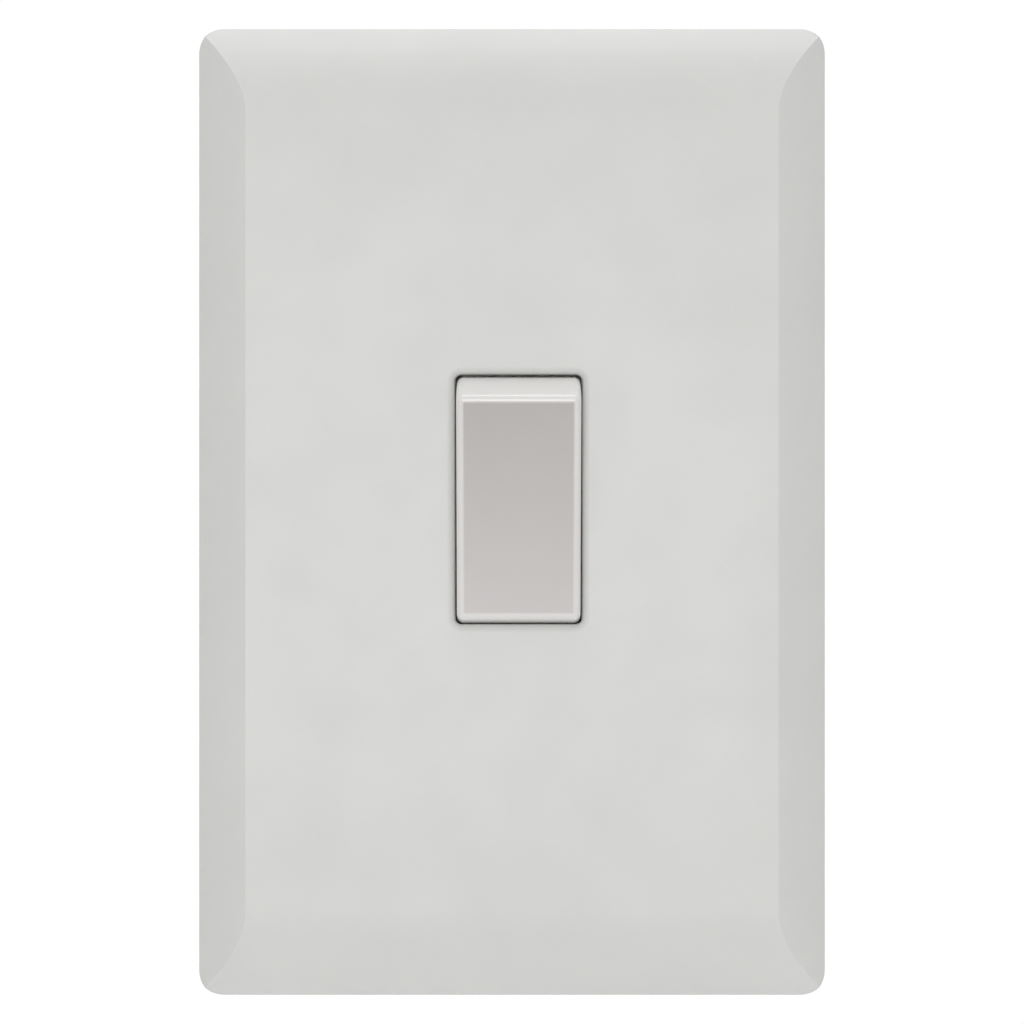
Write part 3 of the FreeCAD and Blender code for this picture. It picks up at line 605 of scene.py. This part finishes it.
def rimRing(sheet, middle):
    # a low rounded ring standing on the housing's back
    shape = housingShape
    inner, outer, height, sides = shape["rimInner"], shape["rimOuter"], shape["rimHeight"], shape["rimSides"]
    shoulder, soft, foot = height * shape["rimShoulder"], height * shape["rimRound"], -shape["rimSunk"]
    profile = [(outer, foot), (outer, shoulder), (outer - soft, height),
               (inner + soft, height), (inner, shoulder), (inner, foot)]
    rows = []
    for radius, rise in profile:
        rows.append([sheet.verts.new(middle + Vector((
            radius * math.cos(2 * math.pi * step / sides), rise,
            radius * math.sin(2 * math.pi * step / sides))) * mm) for step in range(sides)])
    bridgeRows(sheet, rows, rows[1:] + rows[:1])


def addBar(sheet, low, high):
    # a bar with softened edges between two corners, in metres
    bar = bmesh.new()
    bmesh.ops.create_cube(bar, size=1.0)
    for vert in bar.verts:
        vert.co = Vector([lerp(low[i], high[i], vert.co[i] + 0.5) for i in range(3)])
    bmesh.ops.bevel(bar, geom=bar.edges[:], offset=housingShape["ribSoft"] * mm, segments=2, profile=0.5,
                    affect="EDGES")
    mesh = bpy.data.meshes.new("bar")
    bar.to_mesh(mesh)
    bar.free()
    sheet.from_mesh(mesh)
    bpy.data.meshes.remove(mesh)


def panelRing(sheet, middle):
    # one mitred frame standing on the housing's back, its edges softened
    shape = housingShape
    wall, rise, soft = shape["panelWall"], shape["panelHeight"], shape["panelSoft"]
    profile = [(0, -shape["sunk"]), (0, rise - soft), (soft, rise),
               (wall - soft, rise), (wall, rise - soft), (wall, -shape["sunk"])]
    rows = []
    for sideX, sideZ in ((-1, -1), (1, -1), (1, 1), (-1, 1)):
        rows.append([sheet.verts.new(middle + Vector((
            sideX * (shape["panelWide"] - inset), height, sideZ * (shape["panelTall"] - inset))) * mm)
            for inset, height in profile])
    bridgeRows(sheet, rows, rows[1:] + rows[:1])


def makeHousingDetails():
    shape = housingShape
    low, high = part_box("module_base")
    middle = (low + high) / 2
    sheet = bmesh.new()
    for name in ("common_clamp_screw", "switched_clamp_screw"):
        rimRing(sheet, Vector((middle.x, high.y, middleOf(name).z)))
    # a low frame with nothing in it, where a maker would put a rating
    panelRing(sheet, Vector((middle.x, high.y, middle.z)))
    sunk = shape["sunk"] * mm
    for side in (-1, 1):
        face = low.x if side < 0 else high.x
        for step in range(shape["gripRibs"]):
            z = middle.z + (step - (shape["gripRibs"] - 1) / 2) * shape["gripPitch"] * mm
            inner, outer = face - side * sunk, face + side * shape["gripHeight"] * mm
            addBar(sheet, (min(inner, outer), shape["gripFrom"] * mm, z - shape["gripWidth"] * mm / 2),
                   (max(inner, outer), shape["gripTo"] * mm, z + shape["gripWidth"] * mm / 2))
    details = smoothed(newPiece("housingRimsAndRibs", sheet), shape["sharpAngle"])
    dress(details, finishes["housing"])
    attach(details, "housing")


makeHousingDetails()
print("stage 4: housing details")


# the studio: pale tent, floor, two softboxes and the camera
studio = {
    "lens": 85.0, "sensor": 36.0, "fieldWidth": 125.25,  # mm across at the plate's rim
    "rimHeight": 2.0,  # mm, how far the plate's rim stands out towards the camera
    "floorDrop": 0.2, "floorReach": 0.62, "floorGlow": 0.04, "floorSides": 128,  # drop and reach in metres
    "floorDark": (0.77, 0.77, 0.77), "floorLight": (0.8, 0.8, 0.8), "floorCloud": 6.0, "floorRoughness": 0.6,
    "keyPower": 2.15, "keySize": 0.3, "keyPlace": (-0.03, -0.95, 0.0),
    "topPower": 2.4, "topSize": 0.5, "topPlace": (0.0, -0.08, 0.9),
    "worldSide": 0.5, "worldBright": 1.02, "worldStart": 0.25, "worldFull": 0.86,
}


def addLight(name, place, size, power):
    # a square softbox aimed at the middle of the plate
    lamp = bpy.data.lights.new(name, "AREA")
    lamp.shape = "SQUARE"
    lamp.size = size
    lamp.energy = power
    holder = bpy.data.objects.new(name, lamp)
    holder.location = place
    holder.rotation_euler = (-Vector(place)).to_track_quat("-Z", "Y").to_euler()
    bpy.context.scene.collection.objects.link(holder)


def makeWorld():
    # a pale tent, full white behind the object and dimmer in front and at its sides
    world = bpy.data.worlds.new("paleTent")
    bpy.context.scene.world = world
    world.use_nodes = True
    tree = world.node_tree
    background = tree.nodes["Background"]
    place = addNode(tree, "ShaderNodeTexCoord")
    parts = addNode(tree, "ShaderNodeSeparateXYZ")
    tree.links.new(place.outputs["Generated"], parts.inputs["Vector"])
    along = parts.outputs["Y"]
    tree.links.new(rangeOf(tree, along, studio["worldSide"], studio["worldBright"],
                           studio["worldStart"], studio["worldFull"]), background.inputs["Strength"])
    background.inputs["Color"].default_value = (1.0, 1.0, 1.0, 1.0)


def makeFloor():
    sheet = bmesh.new()
    bmesh.ops.create_circle(sheet, cap_ends=True, segments=studio["floorSides"], radius=studio["floorReach"])
    floor = newPiece("studioFloor", sheet)
    floor.location = (0.0, 0.0, -studio["floorDrop"])
    material, tree, shader = newMaterial("floorPaint", studio["floorRoughness"])
    cloud = noiseAt(tree, studio["floorCloud"], detail=3.0)
    tree.links.new(rampOf(tree, cloud, [(0.3, studio["floorDark"]), (0.7, studio["floorLight"])]),
                   shader.inputs["Base Color"])
    shader.inputs["Emission Color"].default_value = (1.0, 1.0, 1.0, 1.0)
    shader.inputs["Emission Strength"].default_value = studio["floorGlow"]
    dress(floor, material)


def makeCamera():
    eye = bpy.data.cameras.new("studioCamera")
    eye.lens = studio["lens"]
    eye.sensor_width = studio["sensor"]
    holder = bpy.data.objects.new("studioCamera", eye)
    away = studio["fieldWidth"] * studio["lens"] / studio["sensor"] + studio["rimHeight"]
    holder.location = (0.0, -away * mm, 0.0)
    holder.rotation_euler = (math.radians(90), 0.0, 0.0)
    bpy.context.scene.collection.objects.link(holder)
    bpy.context.scene.camera = holder


makeWorld()
makeFloor()
makeCamera()
addLight("keySoftbox", studio["keyPlace"], studio["keySize"], studio["keyPower"])
addLight("topSoftbox", studio["topPlace"], studio["topSize"], studio["topPower"])
bpy.context.scene.view_settings.view_transform = "Standard"
print("stage 5: studio")
